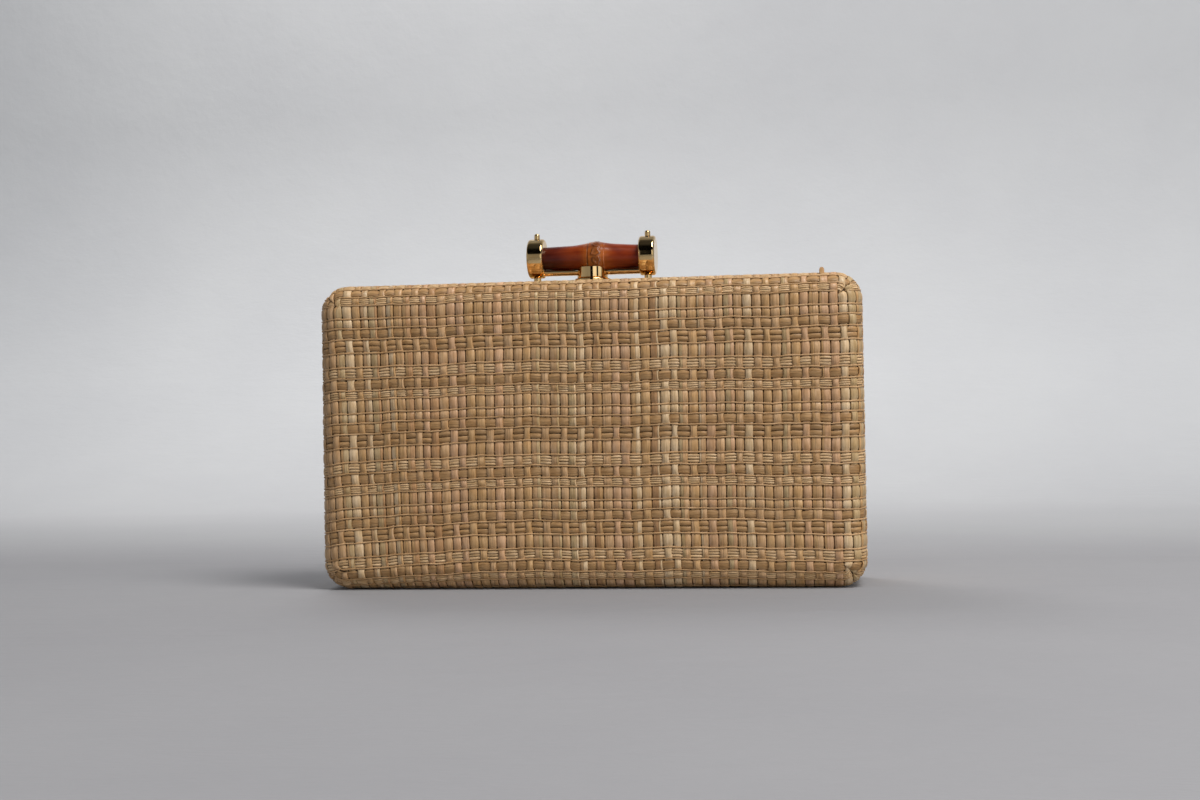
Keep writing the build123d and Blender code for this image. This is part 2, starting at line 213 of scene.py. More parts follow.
def straw_material(name, roughness, contrast):
    """Dry split straw in its own tint, with fibre lines along it."""
    material, board, shader = new_material(name, roughness=roughness, specular_ior_level=0.5)
    first = board.add("ShaderNodeAttribute", attribute_name="straw_tint").outputs["Color"]
    second = board.add("ShaderNodeAttribute", attribute_name="second_tint").outputs["Color"]
    split = board.add("ShaderNodeAttribute", attribute_name="straw_split").outputs["Fac"]
    place = board.add("ShaderNodeAttribute", attribute_name="straw_place").outputs["Vector"]
    beside = board.add("ShaderNodeSeparateXYZ", {"Vector": place}).outputs["Y"]
    past = board.math("SUBTRACT", beside, split)
    tint = board.mix(board.range(past, -0.04, 0.04), first, second)
    crack_and_shade = board.range(board.math("ABSOLUTE", past), 0.02, 0.13, 1.0, 0.0)
    streaks = board.group(fibre_streaks, {"Place": place, "Length": 0.3, "Fineness": 3.4})
    bleached = board.mix(1.0, tint, (1.16, 1.19, 1.3, 1.0), "MULTIPLY")
    weathered = board.mix(1.0, tint, (0.7, 0.66, 0.58, 1.0), "MULTIPLY")
    lined = board.mix(contrast, tint, board.mix(streaks["Lines"], bleached, weathered))
    stained = board.mix(1.0, lined, srgb(238, 228, 210), "MULTIPLY")
    whole = board.mix(streaks["Blotches"], lined, stained)
    # Painted shade: where two fibres meet, the colour darkens towards dark brown, besides the groove that
    # the bump gives
    colour = board.mix(board.math("MULTIPLY", crack_and_shade, 0.6), whole, srgb(104, 74, 42))
    height = board.math("SUBTRACT", streaks["Lines"], crack_and_shade)
    normal = board.bump(height, 0.5, 0.1 * MM)
    feed(board, shader, base_color=colour, normal=normal,
         roughness=board.range(streaks["Blotches"], 0, 1, roughness - 0.08, roughness + 0.1))
    return material


def metal_material(name, colour, dark_colour, clean, worn, bump):
    """Metal that has been handled: duller and darker in patches."""
    material, board, shader = new_material(name, metallic=1.0)
    place = board.add("ShaderNodeTexCoord").outputs["Object"]
    marks = board.group(handling_marks, {"Place": place, "Clean": clean, "Worn": worn})
    tarnish = board.range(board.noise(place, 160.0, 3.0), 0.45, 0.8)
    feed(board, shader, base_color=board.mix(tarnish, colour, dark_colour), roughness=marks["Roughness"],
         normal=board.bump(marks["Height"], bump, 0.01 * MM))
    return material


def bamboo_material():
    """Flamed and lacquered bamboo: dark and red towards its ends, golden at its node."""
    material, board, shader = new_material("lacquered_bamboo", coat_weight=0.25, coat_roughness=0.06,
                                           specular_ior_level=0.25)
    place = board.add("ShaderNodeTexCoord").outputs["Object"]
    # This colour carries painted light from the stem: lighter at its front, darker at its back
    tint = board.add("ShaderNodeAttribute", attribute_name="bamboo_tint").outputs["Color"]
    grain = board.range(board.noise(board.stretch(place, (60, 1500, 1500)), 1.0, 3.0), 0.35, 0.68)
    tone_swing = board.range(board.noise(board.stretch(place, (90, 170, 170)), 1.0, 2.0), 0.38, 0.66)
    deep = board.mix(1.0, tint, srgb(190, 150, 120), "MULTIPLY")
    flamed = board.mix(tone_swing, tint, deep)
    grained = board.mix(1.0, flamed, srgb(205, 180, 160), "MULTIPLY")
    colour = board.mix(board.math("MULTIPLY", grain, 0.5), flamed, grained)
    marks = board.group(handling_marks, {"Place": place, "Clean": 0.3, "Worn": 0.42})
    feed(board, shader, base_color=colour, roughness=marks["Roughness"],
         normal=board.bump(grain, 0.25, 0.03 * MM))
    return material


def cloth_material(name, colour, dark_colour, threads, roughness, fuzz):
    """Fine plain cloth: two sets of threads, one over the other by turns."""
    material, board, shader = new_material(name, roughness=roughness, sheen_weight=fuzz,
                                           sheen_roughness=0.5)
    place = board.add("ShaderNodeTexCoord").outputs["Object"]
    waves = []
    for direction in ("X", "Z"):
        wave = board.add("ShaderNodeTexWave", {"Vector": place, "Scale": threads, "Distortion": 1.2,
                                               "Detail": 1.0, "Detail Scale": 2.0},
                         bands_direction=direction)
        waves.append(wave.outputs["Fac"])
    weave = board.math("MULTIPLY", waves[0], waves[1])
    nap = board.noise(place, 900.0, 4.0, 0.7)
    patches = board.noise(place, 45.0, 3.0)
    height = board.math("ADD", board.math("MULTIPLY", weave, 0.6), nap)
    shade = board.math("MULTIPLY", board.range(height, 0.3, 1.2), board.range(patches, 0.3, 0.7, 0.75, 1))
    feed(board, shader, base_color=board.mix(shade, dark_colour, colour),
         normal=board.bump(height, 0.5, 0.12 * MM))
    return material


def board_material():
    """Moulded board of the shells: matt, pressed fibres, slightly mottled."""
    material, board, shader = new_material("pressed_board", roughness=0.7)
    place = board.add("ShaderNodeTexCoord").outputs["Object"]
    fibres = board.noise(place, 1400.0, 4.0, 0.65)
    mottle = board.noise(place, 120.0, 3.0)
    shade = board.math("ADD", board.math("MULTIPLY", fibres, 0.5), board.math("MULTIPLY", mottle, 0.5))
    colour = board.mix(board.range(shade, 0.35, 0.65), srgb(58, 42, 28), srgb(86, 64, 44))
    feed(board, shader, base_color=colour, roughness=board.range(mottle, 0.3, 0.7, 0.62, 0.8),
         normal=board.bump(fibres, 0.4, 0.1 * MM))
    return material


warp_straw = straw_material("warp_straw", 0.42, 0.8)
weft_straw = straw_material("weft_straw", 0.5, 0.9)
backing_cloth = cloth_material("backing_cloth", srgb(148, 114, 76), srgb(112, 84, 52), 900.0, 0.85, 0.1)
lining_cloth = cloth_material("lining_cloth", srgb(206, 184, 152), srgb(168, 144, 112), 700.0, 0.8, 0.4)
pressed_board = board_material()
gold = srgb(240, 206, 150)
dark_gold = srgb(222, 180, 118)
clasp_gold = metal_material("polished_gold", gold, dark_gold, 0.05, 0.13, 0.12)
frame_gold = metal_material("frame_gold", gold, dark_gold, 0.12, 0.3, 0.3)
hinge_gold = metal_material("satin_gold", gold, dark_gold, 0.28, 0.42, 0.5)
brushed_steel = metal_material("brushed_steel", srgb(190, 188, 184), srgb(140, 138, 134), 0.25, 0.42, 0.6)
lacquered_bamboo = bamboo_material()

slot_materials = {
    "straw": backing_cloth,
    "shell_board": pressed_board,
    "lining_cloth": lining_cloth,
    "gold_frame": frame_gold,
    "gold_hinge": hinge_gold,
    "steel": brushed_steel,
    "gold_clasp": clasp_gold,
    "bamboo": lacquered_bamboo,
}
for part in frame["record"]["subparts"]:
    finish = slot_materials[part["material_slot"]]
    mesh = nodes[part["node"]].data
    mesh.materials.clear()
    mesh.materials.append(finish)


# The hard surface that the cloths follow

HALF_LENGTH = 95.0
HALF_HEIGHT = 53.5
HALF_DEPTH = 25.0
EDGE_RADIUS = 8.0
CORNER_RADIUS = 9.5
MOUTH = 3.55
EDGE_ARC = EDGE_RADIUS * pi / 2
FACE_CORNER = CORNER_RADIUS - EDGE_RADIUS
CORNER_ACROSS = HALF_LENGTH - CORNER_RADIUS
CORNER_UP = HALF_HEIGHT - CORNER_RADIUS
TO_MOUTH = FACE_CORNER + EDGE_ARC + (HALF_DEPTH - EDGE_RADIUS - MOUTH)


def outline_radius(lead):
    """Radius of the bag's outline at this way out from the start of a corner, along the cloth."""
    turned = np.clip((lead - FACE_CORNER) / EDGE_RADIUS, 0, pi / 2)
    return np.where(lead <= FACE_CORNER, lead, FACE_CORNER + EDGE_RADIUS * np.sin(turned))


def wrap(across, up, rise, facing, zone="auto"):
    """Lays points of the flat cloth on one half. Corners are mitred: past the mitre a point stays on it."""
    past_side = np.abs(across) - CORNER_ACROSS
    past_end = np.abs(up) - CORNER_UP
    if zone == "auto":
        on_side = past_side >= past_end
    else:
        on_side = np.full(np.shape(past_side), zone == "side")
    lead = np.where(on_side, past_side, past_end)
    lag = np.where(on_side, past_end, past_side)
    turned = np.clip((lead - FACE_CORNER) / EDGE_RADIUS, 0, pi / 2)
    level = np.clip(lead - FACE_CORNER - EDGE_ARC, 0, None)
    radius = outline_radius(lead)
    angle = np.clip(np.where(lag > 0, lag, 0) / np.maximum(radius, 1e-6), 0, pi / 4)
    angle = np.where(radius > 0, angle, 0)
    out = np.where(lead <= FACE_CORNER, lead, radius + rise * np.sin(turned))
    lead_way = out * np.where(lead > 0, np.cos(angle), 1)
    lag_way = np.where((lag > 0) & (lead > 0), out * np.sin(angle), lag)
    side_way = np.where(on_side, lead_way, lag_way)
    end_way = np.where(on_side, lag_way, lead_way)
    x = np.sign(across) * (CORNER_ACROSS + side_way)
    z = HALF_HEIGHT + np.sign(up) * (CORNER_UP + end_way)
    y = HALF_DEPTH - EDGE_RADIUS + (EDGE_RADIUS + rise) * np.cos(turned) - level
    return np.stack([x, facing * y, z], -1)


def mesh_object(name, points, faces, material, body):
    """A piece from points in millimetres, its faces turned outwards, riding on a body."""
    mesh = bpy.data.meshes.new(name)
    mesh.from_pydata((np.asarray(points) * MM).tolist(), [], faces)
    work = bmesh.new()
    work.from_mesh(mesh)
    bmesh.ops.recalc_face_normals(work, faces=work.faces)
    work.to_mesh(mesh)
    work.free()
    mesh.polygons.foreach_set("use_smooth", [True] * len(mesh.polygons))
    mesh.materials.append(material)
    piece = bpy.data.objects.new(name, mesh)
    scene.collection.objects.link(piece)
    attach(piece, body)
    return piece


def add_attribute(piece, name, kind, values):
    layer = piece.data.attributes.new(name, kind, "POINT")
    field = {"FLOAT_COLOR": "color", "FLOAT_VECTOR": "vector", "FLOAT": "value"}[kind]
    layer.data.foreach_set(field, np.asarray(values, np.float32).ravel())


# Weave: rows from the top of the face down, as kind and height, then over again
ROWS = [
    ("float", 3.7), ("thread", 0.9), ("float", 2.45), ("thread", 0.75),
    ("dark_a", 2.9), ("thread", 0.9), ("wide_b", 3.6), ("thread", 1.05),
    ("float", 3.8), ("thread", 1.05), ("light_a", 2.8), ("thread", 1.0),
    ("dark_b", 2.95), ("thread", 1.0), ("light_a", 2.1), ("thread", 0.95),
]
REPEAT = 32.25
FIRST_ROW_TOP = 45.9
PLIES = {"dark_a": 1, "dark_b": 1, "wide_b": 2, "light_a": 3}
SHEET_ACROSS = CORNER_ACROSS + TO_MOUTH
SHEET_UP = CORNER_UP + TO_MOUTH
STRAW_PITCH = 3.15
PITCH_SPREAD = 0.3
PITCH_LIMITS = (2.45, 3.9)
STRAW_DEPTH = 0.4
TUCKED_WIDTH = 0.9
BACKING_INSET = 1.185

# Heights from the cover's outer surface: no point of a straw lies lower than this
LOWEST = -1.17

# Heights of the crowns of upright straws and wefts at their ends, and under a thread
WARP_END = -0.5
WARP_UNDER_THREAD = -0.4
WEFT_END = -0.6

# Heights of a weft's crown at the middle of an upright straw and to both sides: under it, and over it
HIDDEN_WEFT = (-0.68, -0.6)
BARE_WEFT = (-0.1, -0.17)

# Straws further than this past the start of a corner are cut along its mitre, and their ends sink
MITRE_FROM = 2.2
CUT_END_DROP = 0.45
CUT_INNER_DROP = 0.1

# Place of the split in a straw that has none, and the step from straw to straw in its texture
NO_SPLIT = -9.0
NUMBER_STEP = 1.7

TINTS = {
    "cream": srgb(208, 180, 142),
    "sage": srgb(190, 163, 121),
    "tan": srgb(193, 156, 114),
    "golden": srgb(191, 153, 106),
    "rose": srgb(195, 156, 119),
    "chestnut": srgb(184, 142, 99),
    # The dull tint of the dark rows' wefts is partly their own browner straw and partly painted shade
    "dull": srgb(170, 133, 88),
    "thread": srgb(188, 151, 107),
    "pale": srgb(203, 170, 127),
}
WARP_TINTS = ["cream"] * 3 + ["sage"] * 3 + ["tan"] * 7 + ["golden"] * 5 + ["rose"] * 3 + ["chestnut"] * 2


def cloth_rows():
    """Every row of one half, from top to bottom: kind, upper edge and lower edge."""
    scale = REPEAT / sum(height for kind, height in ROWS)
    rows = []
    number = -2 * len(ROWS)
    top = FIRST_ROW_TOP + 2 * REPEAT
    while top > -SHEET_UP:
        kind, height = ROWS[number % len(ROWS)]
        bottom = top - height * scale
        if bottom < SHEET_UP:
            rows.append((kind, min(top, SHEET_UP), max(bottom, -SHEET_UP)))
        top = bottom
        number += 1
    return rows


class Ripple:
    """A smooth wandering line: a few sine waves with their own phases."""

    def __init__(self, draw, lengths, sizes):
        self.terms = [
            (2 * pi / length, size, draw.uniform(0, 2 * pi))
            for length, size in zip(lengths, sizes)
        ]

    def __call__(self, way):
        return sum(size * np.sin(rate * way + phase) for rate, size, phase in self.terms)


class Drift:
    """How the cloth of one half was pulled out of square when it was glued down."""

    def __init__(self, draw, front):
        self.front = front
        self.rows = Ripple(draw, (61, 23, 9.7), (0.16, 0.12, 0.07))
        self.rows_up = Ripple(draw, (47, 19), (1.3, 0.8))
        self.straws = Ripple(draw, (67, 24, 9.3), (0.16, 0.07, 0.035))
        self.straws_across = Ripple(draw, (71, 29), (1.3, 0.8))

    def __call__(self, across, up):
        if self.front:
            left = np.clip((-20 - across) / 63, 0, 1.2) ** 2
            right = np.clip((across - 30) / 48, 0, 1.2) ** 2
            dip = left * (0.5 + 2.5 * np.clip((45 - up) / 90, 0, 1.1))
            dip = dip + right * (-0.3 + 1.1 * np.clip((45 - up) / 90, 0, 1.1))
            lean = -0.045 * up * np.clip((-across - 30) / 60, 0, 1.1)
        else:
            lower = np.clip((SHEET_UP - CORNER_UP + 20 - up) / 100, 0, 1)
            dip = 0.9 * np.clip((across - 25) / 60, 0, 1.2) ** 2 * lower
            lean = 0.02 * up * np.clip((across - 20) / 70, 0, 1.1)
        dip = dip + self.rows(across + self.rows_up(up))
        lean = lean + self.straws(up + self.straws_across(across))
        return across + lean, up - dip


class Strips:
    """Collects straws and threads as closed bands with an arched back."""

    def __init__(self, facing, drift):
        self.facing = facing
        self.drift = drift
        self.points, self.faces, self.places = [], [], []
        self.first_tints, self.second_tints, self.splits = [], [], []
        self.count = 0
        self.number = 0

    def band(self, upright, line, ways, halves, crowns, tints, depth, split=None):
        """One straw: line is its place in the cloth, ways the stations along it.

        Two fibres meet at split, as a share of its half width.
        """
        self.number += 1
        spans = np.array([-1, -0.84, split or 0, 0.84, 1])
        drops = np.array([-depth, -0.06, 0 if split is None else -0.14, -0.06, -depth])
        beside = line[:, None] + halves[:, None] * spans
        along = np.repeat(ways[:, None], len(spans), 1)
        rise = np.maximum(crowns[:, None] + drops, LOWEST)
        across, up = self.drift(*((beside, along) if upright else (along, beside)))
        across = np.clip(across, -SHEET_ACROSS, SHEET_ACROSS)
        up = np.clip(up, -SHEET_UP, SHEET_UP)
        past = (np.abs(line) - (CORNER_ACROSS if upright else CORNER_UP)).max()
        sections = [("auto", np.full(len(ways), True))]
        if past > MITRE_FROM:
            side_way, end_way = np.abs(across) - CORNER_ACROSS, np.abs(up) - CORNER_UP
            on_side = (end_way < outline_radius(side_way) * pi / 4).any(1) & (side_way.max(1) > 0)
            on_end = (side_way < outline_radius(end_way) * pi / 4).any(1) & (end_way.max(1) > 0)
            middle = np.abs(ways) <= (CORNER_UP if upright else CORNER_ACROSS)
            sections = []
            first, second = ("side", "end") if upright else ("end", "side")
            along_run = (on_side if upright else on_end) | middle
            cross_run = (on_end if upright else on_side) & ~middle
            sections.append((first, along_run))
            sections.append((second, cross_run & (ways > 0)))
            sections.append((second, cross_run & (ways < 0)))
        for zone, kept in sections:
            index = np.flatnonzero(kept)
            if len(index) < 3:
                continue
            index = np.arange(index[0], index[-1] + 1)
            section_rise = rise[index].copy()
            for end, inner in ((0, 1), (-1, -2)):
                if index[end] not in (0, len(ways) - 1):
                    section_rise[end] = np.maximum(section_rise[end] - CUT_END_DROP, LOWEST)
                    section_rise[inner] = np.maximum(section_rise[inner] - CUT_INNER_DROP, LOWEST)
            placed = wrap(across[index], up[index], section_rise, self.facing, zone)
            self.store(placed, ways[index], halves[index, None] * spans, tints)
            meeting = np.full(len(index), NO_SPLIT) if split is None else split * halves[index]
            self.splits.append(np.repeat(meeting, len(spans)))

    def store(self, placed, ways, beside, tints):
        rings, around = placed.shape[:2]
        base = self.count
        self.points.append(placed.reshape(-1, 3))
        start = base + np.arange(rings - 1)[:, None] * around + np.arange(around)
        after = base + np.arange(rings - 1)[:, None] * around + (np.arange(around) + 1) % around
        quads = np.stack([start, after, after + around, start + around], -1).reshape(-1, 4)
        self.faces.extend(quads.tolist())
        self.faces.append([base + k for k in range(around)])
        self.faces.append([base + (rings - 1) * around + k for k in range(around)])
        along = np.repeat(ways[:, None], around, 1)
        place = np.stack([along, beside, np.full(beside.shape, self.number * NUMBER_STEP)], -1)
        self.places.append(place.reshape(-1, 3))
        self.first_tints.append(np.repeat(np.array(tints[0])[None], rings * around, 0))
        self.second_tints.append(np.repeat(np.array(tints[1])[None], rings * around, 0))
        self.count += rings * around

    def finish(self, name, material, body):
        piece = mesh_object(name, np.concatenate(self.points), self.faces, material, body)
        add_attribute(piece, "straw_tint", "FLOAT_COLOR", np.concatenate(self.first_tints))
        add_attribute(piece, "second_tint", "FLOAT_COLOR", np.concatenate(self.second_tints))
        add_attribute(piece, "straw_split", "FLOAT", np.concatenate(self.splits))
        add_attribute(piece, "straw_place", "FLOAT_VECTOR", np.concatenate(self.places))
        return piece


def shaded(name, draw, spread=0.045):
    """One of the tints, a little lighter or darker."""
    colour = np.array(TINTS[name])
    colour[:3] *= draw.normal(1, spread)
    return tuple(np.clip(colour, 0, 1))


def over(kind, column):
    """Whether the upright straw of this column lies on top in such a row."""
    if kind in ("float", "thread"):
        return True
    return column % 2 == (0 if kind.endswith("_a") else 1)


# One straw end has come loose over the top edge
LOOSE_END_ACROSS = 81.5
LOOSE_END_WAYS = (53.6, 54.6, 55.6, 56.4, 57.0, 57.4)
LOOSE_END_HALVES = (0.4, 0.75, 0.85, 0.85, 0.8, 0.6)
LOOSE_END_RISE = (-0.3, -0.02, 0.35, 0.85, 1.4, 1.75)

# Stations of an upright straw in a row, each a share of the row's height and the height of its crown:
# where it lies on top, and where it lies under a weft
CELL = ((0.04, -0.26), (0.18, -0.04), (0.5, 0.0), (0.82, -0.04), (0.96, -0.26))
SUNK = ((0.04, -0.46), (0.2, -0.66), (0.5, -0.7), (0.8, -0.66), (0.96, -0.46))


def weave(side, front, seed):
    """The straws, wefts and threads of one half."""
    facing = -1 if front else 1
    body = f"{side}_half"
    draw = np.random.default_rng(seed)
    drift = Drift(draw, front)
    rows = cloth_rows()
    count = int(2 * SHEET_ACROSS / STRAW_PITCH)
    pitches = np.clip(draw.normal(STRAW_PITCH, PITCH_SPREAD, count), *PITCH_LIMITS)
    pitches *= 2 * SHEET_ACROSS / pitches.sum()
    edges = np.concatenate([[0], np.cumsum(pitches)]) - SHEET_ACROSS
    centres = (edges[1:] + edges[:-1]) / 2

    warps = Strips(facing, drift)
    for column, (centre, pitch) in enumerate(zip(centres, pitches)):
        tints = [shaded(WARP_TINTS[draw.integers(len(WARP_TINTS))], draw) for fibre in range(2)]
        split = draw.uniform(-0.5, 0.5) if draw.uniform() < 0.6 else None
        full = (pitch - draw.uniform(0.02, 0.16)) / 2
        ways, halves, crowns = [SHEET_UP], [full * TUCKED_WIDTH], [WARP_END]
        for kind, top, bottom in rows:
            height = top - bottom
            if kind == "thread":
                ways.append((top + bottom) / 2)
                halves.append(full * TUCKED_WIDTH)
                crowns.append(WARP_UNDER_THREAD)
                continue
            on_top = over(kind, column)
            lift = draw.normal(0, 0.045)
            wide = full * (1 if kind == "float" else draw.uniform(0.64, 0.92))
            for share, level in (CELL if on_top else SUNK):
                ways.append(top - share * height)
                halves.append(wide if 0.1 < share < 0.9 else (wide + full) / 2 * 0.94)
                crowns.append(level + (lift if on_top else 0))
        ways.append(-SHEET_UP)
        halves.append(full * TUCKED_WIDTH)
        crowns.append(WARP_END)
        ways = np.array(ways)
        kept = np.concatenate([[True], np.diff(ways) < -0.02])
        line = np.full(kept.sum(), centre)
        warps.band(True, line, ways[kept], np.array(halves)[kept], np.array(crowns)[kept], tints,
                   STRAW_DEPTH, split)

    wefts = Strips(facing, drift)
    for kind, top, bottom in rows:
        if kind == "thread":
            ways = np.sort(np.concatenate([centres, edges]))
            level = np.where(np.isin(ways, centres), -0.08, -0.2) + draw.normal(0, 0.03, len(ways))
            middle = (top + bottom) / 2
            wander = Ripple(draw, (37, 12.3, 5.1), (0.07, 0.05, 0.04))
            line = middle + wander(ways)
            halves = np.clip(draw.normal(0.29, 0.03, len(ways)), 0.2, 0.38)
            wefts.band(False, line, ways, halves, level, [shaded("thread", draw)] * 2, 0.34)
        elif kind != "float":
            plies = PLIES[kind]
            if kind == "dark_b" and draw.uniform() < 0.5:
                plies = 2
            height = (top - bottom) * 1.02 / plies
            for ply in range(plies):
                ways, crowns = [-SHEET_ACROSS], [WEFT_END]
                for column, (centre, pitch) in enumerate(zip(centres, pitches)):
                    hidden = over(kind, column)
                    lift = draw.normal(0, 0.04)
                    middle, beside = HIDDEN_WEFT if hidden else BARE_WEFT
                    for share in (-0.3, 0, 0.3):
                        ways.append(centre + share * pitch)
                        crowns.append((middle if share == 0 else beside) + (0 if hidden else lift))
                ways.append(SHEET_ACROSS)
                crowns.append(WEFT_END)
                ways = np.array(ways)
                wander = Ripple(draw, (41, 13.7, 6.1), (0.08, 0.06, 0.05))
                line = top - (ply + 0.5) * height + wander(ways) * (0.4 if plies > 1 else 1)
                tints = [shaded("pale" if kind == "light_a" else "dull", draw, 0.08) for fibre in range(2)]
                half = height / 2 * (0.96 if plies == 1 else 0.93)
                halves = half * (1 + draw.normal(0, 0.05, len(ways)))
                split = draw.uniform(-0.4, 0.4) if plies == 1 else None
                wefts.band(False, line, ways, halves, np.array(crowns), tints, 0.3, split)

    if front:
        ways = np.array(LOOSE_END_WAYS)
        warps.band(True, np.full(len(ways), LOOSE_END_ACROSS), ways, np.array(LOOSE_END_HALVES),
                   np.array(LOOSE_END_RISE), [shaded("dull", draw)] * 2, 0.3)
    warp_piece = warps.finish(f"{side}_upright_straws", warp_straw, body)
    weft_piece = wefts.finish(f"{side}_cross_straws", weft_straw, body)
    backing = sheet_piece(f"{side}_backing_cloth", BACKING_INSET, facing, backing_cloth, body)
    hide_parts(f"{side}_cover")


def sheet_piece(name, inset, facing, material, body, wave=None):
    """A plain cloth glued on the hard surface, or this far inside it, over the edges to the mouth."""
    def stations(reach, corner):
        flat = np.linspace(-corner, corner, 41)
        bend = np.linspace(corner, reach, 19)[1:]
        return np.concatenate([-bend[::-1], flat, bend])
    across = stations(SHEET_ACROSS, CORNER_ACROSS)
    up = stations(SHEET_UP, CORNER_UP)
    grid_across, grid_up = np.meshgrid(across, up)
    rise = np.full(grid_across.shape, -inset)
    if wave is not None:
        rise = rise + wave(grid_across, grid_up)
    points = wrap(grid_across, grid_up, rise, facing).reshape(-1, 3)
    wide = len(across)
    faces = []
    for row in range(len(up) - 1):
        for column in range(wide - 1):
            first = row * wide + column
            faces.append([first, first + 1, first + wide + 1, first + wide])
    piece = mesh_object(name, points, faces, material, body)
    work = bmesh.new()
    work.from_mesh(piece.data)
    bmesh.ops.remove_doubles(work, verts=work.verts, dist=0.02 * MM)
    bmesh.ops.dissolve_degenerate(work, edges=work.edges, dist=0.005 * MM)
    bmesh.ops.recalc_face_normals(work, faces=work.faces)
    work.to_mesh(piece.data)
    work.free()
    return piece


weave("front", True, 11)
weave("back", False, 23)


# Bamboo bar

BAR_HEIGHT = 116.4
BAR_HALF_LENGTH = 21.8
NODE_PLACE = 1.4
NODE_RADIUS = 5.5
GROOVE = -2.6
BAMBOO_PROFILE = [
    # way from the node, radius
    (-23.2, 4.05), (-17.5, 4.05), (-8.0, 4.35), (-4.5, 4.85), (-2.9, 5.15), (-2.3, 5.3), (-1.0, 5.55),
    (0.0, 5.62), (1.0, 5.55), (3.5, 5.1), (5.8, 4.7), (10.9, 4.3), (14.0, 4.1), (20.4, 4.08),
]
ROOT_SCARS = [
    # way from the node, turn from the front in degrees, radius
    (0.5, 50, 1.15), (0.3, 15, 1.25), (0.6, -17, 1.2), (0.2, -52, 1.0), (0.5, 92, 0.9),
    (0.4, 150, 1.1), (0.2, 188, 1.2), (0.6, 232, 0.95), (0.3, 275, 1.05),
]
BAMBOO_TINTS = [
    # way from the node, colour
    (-22.0, srgb(46, 12, 3)), (-14.0, srgb(90, 29, 5)), (-6.0, srgb(130, 54, 11)), (-2.8, srgb(150, 82, 19)),
    (0.0, srgb(120, 68, 22)), (2.5, srgb(142, 74, 17)), (7.0, srgb(132, 54, 11)), (14.0, srgb(118, 40, 6)),
    (20.0, srgb(82, 25, 4)),
]


def bell(value, centre, width):
    """A smooth bump of height 1."""
    return np.exp(-(((value - centre) / width) ** 2))


def bamboo_bar():
    """The stem, with a groove beside its swollen node and root scars round it."""
    ways = np.unique(np.concatenate([
        np.linspace(-BAR_HALF_LENGTH, BAR_HALF_LENGTH, 110),
        NODE_PLACE + np.linspace(-4.2, 3.2, 75),
    ]))
    turns = np.linspace(0, 2 * pi, 120, endpoint=False)
    way, turn = np.meshgrid(ways - NODE_PLACE, turns, indexing="ij")
    table = np.array(BAMBOO_PROFILE)
    shifts = np.linspace(-1.2, 1.2, 25)
    radius = sum(np.interp(way + shift, table[:, 0], table[:, 1]) for shift in shifts) / len(shifts)
    radius = radius - 0.22 * bell(way, GROOVE, 0.16) + 0.07 * bell(way, -2.1, 0.3)
    radius = radius + 0.05 * np.sin(3 * turn + 0.6) * bell(way, 0, 9)
    ends = np.clip((BAR_HALF_LENGTH - np.abs(way + NODE_PLACE)) / 0.6, 0, 1)
    radius = radius - 0.35 * (1 - np.sqrt(1 - (1 - ends) ** 2))
    dark = np.zeros_like(radius)
    for scar_way, scar_turn, scar_radius in ROOT_SCARS:
        gap = (turn - radians(scar_turn) + pi) % (2 * pi) - pi
        bearing = np.arctan2(gap * NODE_RADIUS, way - scar_way)
        ragged = 1 + 0.14 * np.sin(3 * bearing + 9 * scar_way) + 0.09 * np.sin(5 * bearing + scar_turn)
        distance = np.hypot(way - scar_way, gap * NODE_RADIUS) / scar_radius / ragged
        radius = radius + 0.16 * bell(distance, 0.95, 0.22) - 0.14 * bell(distance, 0, 0.6)
        patchy = 0.7 + 0.3 * np.sin(2 * bearing + scar_turn)
        dark = np.maximum(dark, patchy * bell(distance, 1.15, 0.26))
        dark = np.maximum(dark, 0.8 * bell(distance, 0, 0.35))
    dark = np.maximum(dark, bell(way, GROOVE, 0.2))
    x = way + NODE_PLACE
    y = -radius * np.cos(turn)
    z = BAR_HEIGHT + radius * np.sin(turn)
    points = np.stack([x, y, z], -1).reshape(-1, 3)
    around = len(turns)
    faces = []
    for ring in range(len(ways) - 1):
        for step in range(around):
            after = (step + 1) % around
            faces.append([ring * around + step, ring * around + after, (ring + 1) * around + after,
                          (ring + 1) * around + step])
    faces.append(list(range(around)))
    faces.append([(len(ways) - 1) * around + step for step in range(around)])
    piece = mesh_object("bamboo_stem", points, faces, lacquered_bamboo, "clasp")
    stops = np.array([stop for stop, colour in BAMBOO_TINTS])
    colours = np.array([colour[:3] for stop, colour in BAMBOO_TINTS])
    tint = np.stack([np.interp(way, stops, colours[:, channel]) for channel in range(3)], -1)
    # Painted light and shade: the side towards the front and a little up is a third lighter, the back a
    # third darker, with a small ripple round the stem
    tone_swing = 1 + 0.35 * np.cos(turn - 0.25) + 0.08 * np.sin(5 * turn + way / 5)
    tint = tint * (tone_swing * (1 - 0.6 * dark))[..., None]
    tint = np.concatenate([tint, np.ones(tint.shape[:2] + (1,))], -1)
    add_attribute(piece, "bamboo_tint", "FLOAT_COLOR", tint)
    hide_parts("bamboo_bar")


bamboo_bar()


# Linings: cloth drawn over the inside of each shell, slightly uneven where it is glued

LINING_INSET = 3.22


def linings():
    for side, facing, seed in (("front", -1, 5), ("back", 1, 7)):
        draw = np.random.default_rng(seed)
        first = Ripple(draw, (43, 17, 7.3), (0.10, 0.07, 0.03))
        second = Ripple(draw, (37, 15, 6.1), (0.09, 0.06, 0.03))
        piece = sheet_piece(
            f"{side}_lining_cloth", LINING_INSET, facing, lining_cloth, f"{side}_half",
            lambda across, up: first(across + 0.3 * up) * 0.3 + second(up - 0.2 * across) * 0.3,
        )
        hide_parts(f"{side}_lining")


linings()


# Floor and backdrop, one sweep

FLOOR_DROP = 0.05


